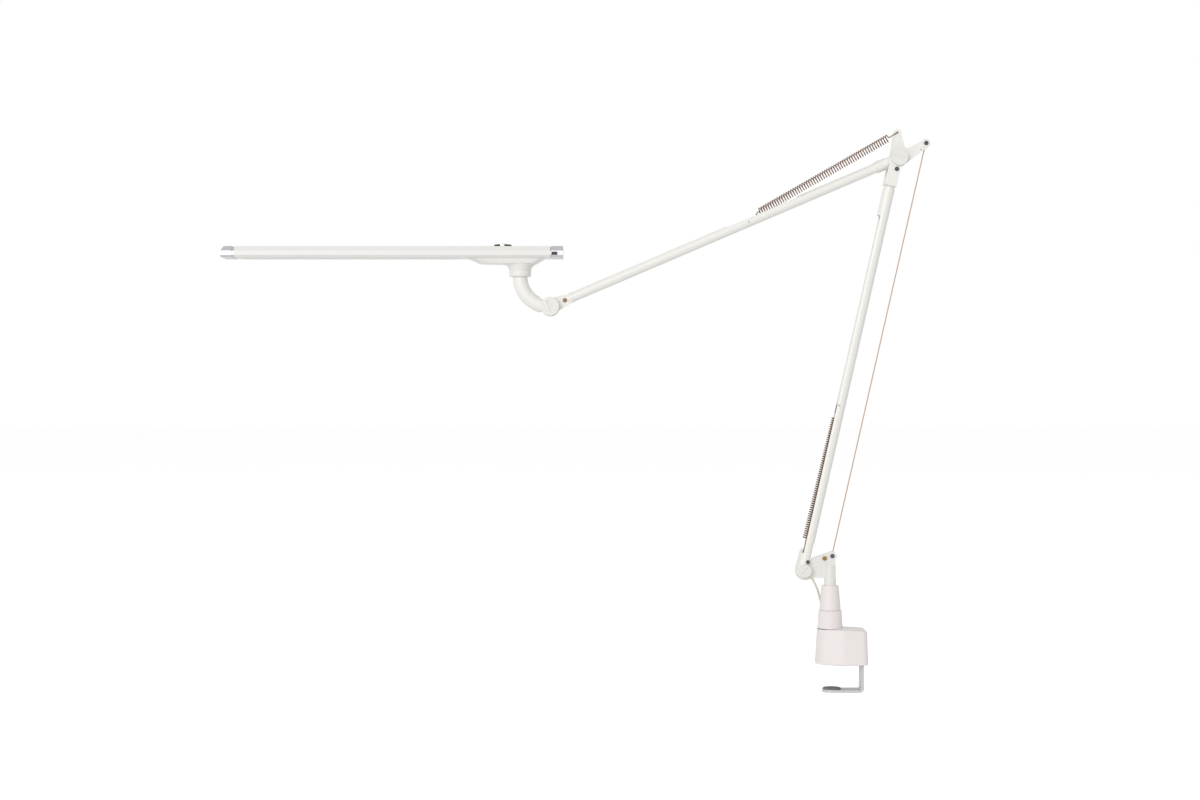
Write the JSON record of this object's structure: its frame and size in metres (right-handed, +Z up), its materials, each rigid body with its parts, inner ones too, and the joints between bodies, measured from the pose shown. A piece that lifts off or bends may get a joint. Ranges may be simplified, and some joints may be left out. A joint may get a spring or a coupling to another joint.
{
  "type": "led desk lamp",
  "caption": "Clamp-on task lamp with a slim LED bar head on two spring-balanced arms with a parallel link rod.",
  "frame": {"origin": "centre of the clamp's seat, on the axis of its collar, where the housing rests on the desk", "axes": "+Z up along the swivel axis, +X away from the lamp head, along the desk towards its edge"},
  "size_m": [0.7489, 0.0854, 0.5959],
  "materials": {
    "white_arm": "warm white, satin",
    "white_plastic": "pinkish white, fine satin",
    "white_head": "warm white powder coat",
    "cap_silver": "satin silver",
    "strap_steel": "satin plated",
    "plain_steel": "plated",
    "dark_rubber": "matt",
    "dark_plastic": "matt",
    "spring_wire": "oil tempered, brown",
    "brass": "turned",
    "lead_jacket": "cream PVC",
    "dial_chrome": "polished",
    "white_button": "gloss",
    "board_white": "solder mask",
    "board_green": "solder mask",
    "led_yellow": "phosphor",
    "diffuser_white": "opal"
  },
  "bodies": {
    "clamp_base": {"base_housing": "white_plastic", "base_plate": "plain_steel", "seat_pad": "dark_rubber", "housing_screws": "plain_steel", "thrust_washer": "plain_steel", "supply_lead": "lead_jacket", "lead_coil": "lead_jacket", "lead_tail": "lead_jacket", "lead_plug": "dark_plastic"},
    "jaw": {"clamp_strap": "strap_steel", "jaw_pad": "dark_rubber", "clamp_nut": "brass"},
    "clamp_knob": {"knob_ring": "white_plastic", "knob_collar": "white_plastic", "lead_screw": "plain_steel", "post_bushing": "dark_plastic"},
    "swivel": {"base_bracket": "white_arm", "lead_gland": "lead_jacket", "lower_link_pin": "plain_steel", "adjuster_screw": "brass"},
    "lower_arm": {"lower_tube": "white_arm", "foot_screw": "plain_steel", "top_fork": "white_arm", "fork_screws": "plain_steel", "lower_spring_pin": "plain_steel", "lower_pivot_bolt": "plain_steel", "lower_knobs": "white_arm", "elbow_bolt": "plain_steel", "elbow_knobs": "white_arm"},
    "lower_spring": {"lower_spring": "spring_wire"},
    "link": {"link_rod": "spring_wire", "link_bushes": "plain_steel"},
    "elbow": {"elbow_bracket": "white_arm", "upper_link_pin": "plain_steel"},
    "upper_arm": {"upper_tube": "white_arm", "elbow_sleeve": "white_arm", "upper_spring_pin": "plain_steel", "head_end_fitting": "white_arm", "fitting_screw": "spring_wire"},
    "upper_spring": {"upper_spring_coil": "spring_wire"},
    "upper_spring_end": {"upper_spring_hook": "spring_wire"},
    "neck": {"neck": "white_arm", "neck_clip": "plain_steel", "head_bolt": "plain_steel", "head_knobs": "white_arm"},
    "head": {"head_body": "white_head", "outer_end_cap": "cap_silver", "inner_end_cap": "cap_silver", "cap_insert": "dark_plastic", "joint_pod": "white_head", "socket_ring": "white_head", "led_board": "board_white", "leds": "led_yellow", "diffuser": "diffuser_white", "driver_board": "board_green", "dial_encoder": "dark_plastic"},
    "dial": {"dimmer_dial": "dial_chrome"},
    "button": {"power_button": "white_button"}
  },
  "joints": [
    {"name": "clamp_knob_turn", "type": "hinge", "parent": "clamp_base", "child": "clamp_knob", "pos_m": [0, 0, 0.05], "axis": [0, 0, 1], "range_deg": [-1520, 720]},
    {"name": "jaw_travel", "type": "slide", "parent": "clamp_base", "child": "jaw", "axis": [0, 0, 1], "range_m": [-0.0168, 0.0079]},
    {"name": "base_swivel", "type": "hinge", "parent": "clamp_base", "child": "swivel", "pos_m": [0, 0, 0.07], "axis": [0, 0, 1], "range_deg": [-150, 150], "deforming": ["supply_lead"]},
    {"name": "lower_arm_lean", "type": "hinge", "parent": "swivel", "child": "lower_arm", "pos_m": [-0.027, 0, 0.0986], "axis": [0, 1, 0], "range_deg": [-13, 20]},
    {"name": "lower_spring_swing", "type": "hinge", "parent": "swivel", "child": "lower_spring", "pos_m": [-0.0285, 0, 0.1188], "axis": [0, 1, 0], "range_deg": [-15, 23], "deforming": ["lower_spring"]},
    {"name": "link_swing", "type": "hinge", "parent": "swivel", "child": "link", "pos_m": [0.002, 0, 0.1142], "axis": [0, 1, 0], "range_deg": [-13.5, 20.5]},
    {"name": "elbow_level", "type": "hinge", "parent": "lower_arm", "child": "elbow", "pos_m": [0.07225, 0, 0.53547], "axis": [0, 1, 0], "range_deg": [-20.5, 13.5]},
    {"name": "upper_arm_lift", "type": "hinge", "parent": "elbow", "child": "upper_arm", "pos_m": [0.07225, 0, 0.53547], "axis": [0, 1, 0], "range_deg": [-20, 40]},
    {"name": "upper_spring_swing", "type": "hinge", "parent": "elbow", "child": "upper_spring", "pos_m": [0.07125, 0, 0.56247], "axis": [0, 1, 0], "range_deg": [-20, 39]},
    {"name": "upper_spring_stretch", "type": "slide", "parent": "upper_spring", "child": "upper_spring_end", "axis": [-0.8678, 0, -0.497], "range_m": [-0.018, 0.009], "deforming": ["upper_spring_coil", "upper_spring_hook"]},
    {"name": "head_tilt", "type": "hinge", "parent": "upper_arm", "child": "neck", "pos_m": [-0.29659, 0, 0.37814], "axis": [0, 1, 0], "range_deg": [-60, 35]},
    {"name": "head_swivel", "type": "hinge", "parent": "neck", "child": "head", "pos_m": [-0.32839, 0, 0.41494], "axis": [0, 0, 1], "range_deg": [-90, 90]},
    {"name": "dial_turn", "type": "hinge", "parent": "head", "child": "dial", "pos_m": [-0.34669, 0, 0.43954], "axis": [0, 0, 1], "range_deg": [-150, 150]},
    {"name": "button_press", "type": "slide", "parent": "dial", "child": "button", "axis": [0, 0, -1], "range_m": [0, 0.0008], "stiffness_N_per_m": 400}
  ],
  "couplings": [
    {"joint": "clamp_knob_turn", "follows": "jaw_travel", "rad_per_m": 1570.8},
    {"joint": "lower_spring_swing", "follows": "lower_arm_lean", "ratio": 1.11},
    {"joint": "link_swing", "follows": "lower_arm_lean", "ratio": 1},
    {"joint": "elbow_level", "follows": "lower_arm_lean", "ratio": -1},
    {"joint": "upper_spring_swing", "follows": "upper_arm_lift", "ratio": 0.9518},
    {"joint": "upper_spring_stretch", "follows": "upper_arm_lift", "m_per_rad": -0.0246}
  ]
}
